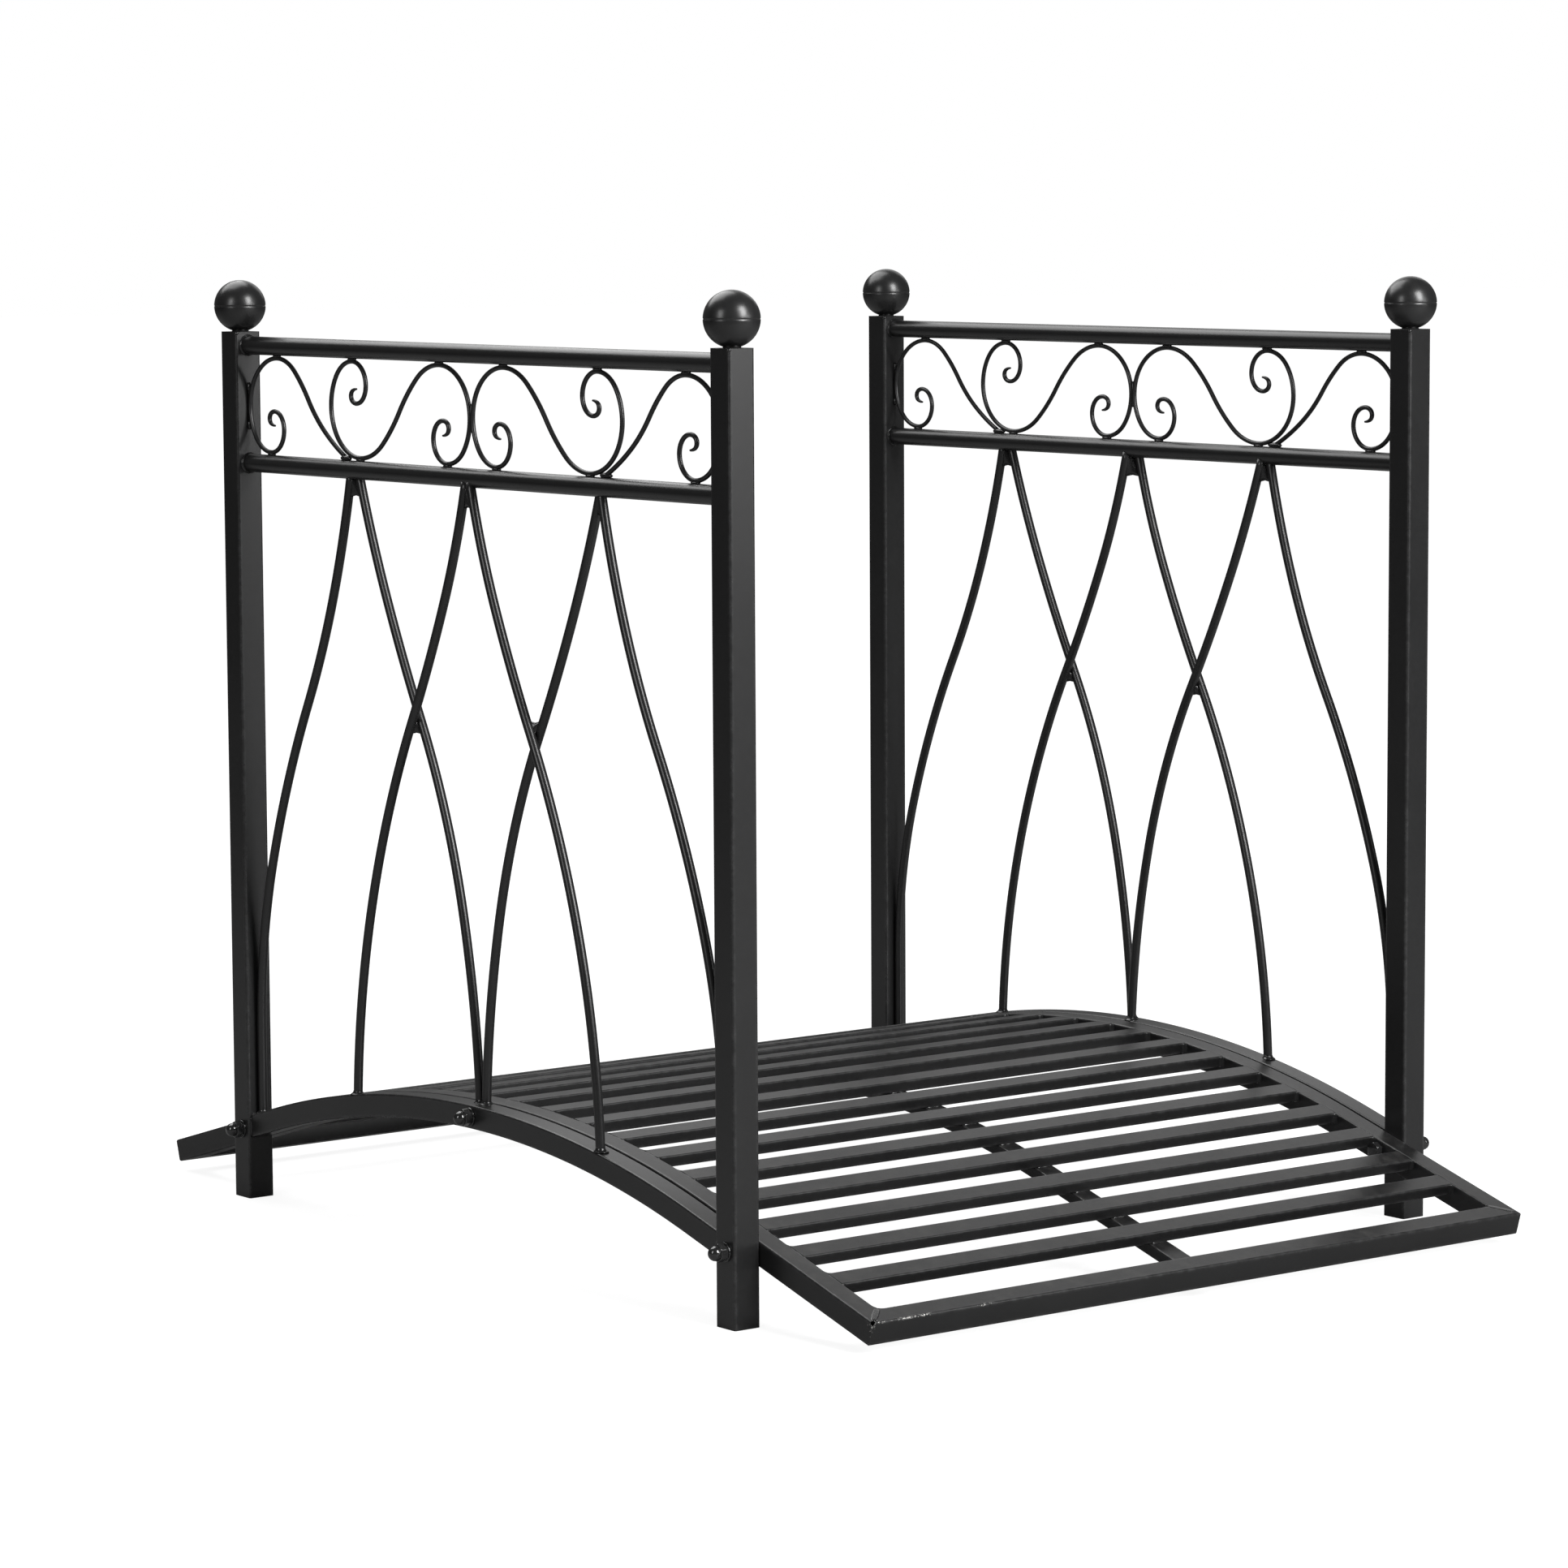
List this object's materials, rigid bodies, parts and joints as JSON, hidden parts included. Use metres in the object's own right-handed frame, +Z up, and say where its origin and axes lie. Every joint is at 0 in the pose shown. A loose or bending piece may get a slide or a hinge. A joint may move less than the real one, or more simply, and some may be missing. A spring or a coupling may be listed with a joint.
{
  "type": "arched garden bridge",
  "caption": "Small arched garden bridge of black coated steel tube: slatted deck frame with two bolted railings, scrollwork under the top rail, crossing ogee rods and ball finials on the posts.",
  "frame": {"origin": "on the ground under the middle of the bridge, centred in length and width", "axes": "+X along the walking direction and the longest extent, +Y across the deck, +Z up"},
  "size_m": [1.0224, 0.781, 0.8128],
  "materials": {
    "railing_coat": "satin black powder coat",
    "deck_coat": "satin black powder coat",
    "black_fastener": "gloss black plated steel"
  },
  "bodies": {
    "root": {"arch_bar_front": "railing_coat", "arch_bar_rear": "railing_coat", "ball_finial_front_left": "railing_coat", "ball_finial_front_right": "railing_coat", "ball_finial_rear_left": "railing_coat", "ball_finial_rear_right": "railing_coat", "bolts": "black_fastener", "cap_nuts": "black_fastener", "deck_rail_front": "deck_coat", "deck_rail_rear": "deck_coat", "deck_spine": "deck_coat", "end_bar_left": "deck_coat", "end_bar_right": "deck_coat", "inner_rod_front_left": "railing_coat", "inner_rod_front_right": "railing_coat", "inner_rod_rear_left": "railing_coat", "inner_rod_rear_right": "railing_coat", "inner_scroll_front_left": "railing_coat", "inner_scroll_front_right": "railing_coat", "inner_scroll_rear_left": "railing_coat", "inner_scroll_rear_right": "railing_coat", "mid_rail_front": "railing_coat", "mid_rail_rear": "railing_coat", "middle_rod_front_left": "railing_coat", "middle_rod_front_right": "railing_coat", "middle_rod_rear_left": "railing_coat", "middle_rod_rear_right": "railing_coat", "outer_rod_front_left": "railing_coat", "outer_rod_front_right": "railing_coat", "outer_rod_rear_left": "railing_coat", "outer_rod_rear_right": "railing_coat", "outer_scroll_front_left": "railing_coat", "outer_scroll_front_right": "railing_coat", "outer_scroll_rear_left": "railing_coat", "outer_scroll_rear_right": "railing_coat", "post_front_left": "railing_coat", "post_front_right": "railing_coat", "post_rear_left": "railing_coat", "post_rear_right": "railing_coat", "slat_01": "deck_coat", "slat_02": "deck_coat", "slat_03": "deck_coat", "slat_04": "deck_coat", "slat_05": "deck_coat", "slat_06": "deck_coat", "slat_07": "deck_coat", "slat_08": "deck_coat", "slat_09": "deck_coat", "slat_10": "deck_coat", "slat_11": "deck_coat", "slat_12": "deck_coat", "slat_13": "deck_coat", "slat_14": "deck_coat", "slat_15": "deck_coat", "slat_16": "deck_coat", "slat_17": "deck_coat", "slat_18": "deck_coat", "slat_19": "deck_coat", "top_rail_front": "railing_coat", "top_rail_rear": "railing_coat"}
  },
  "joints": []
}
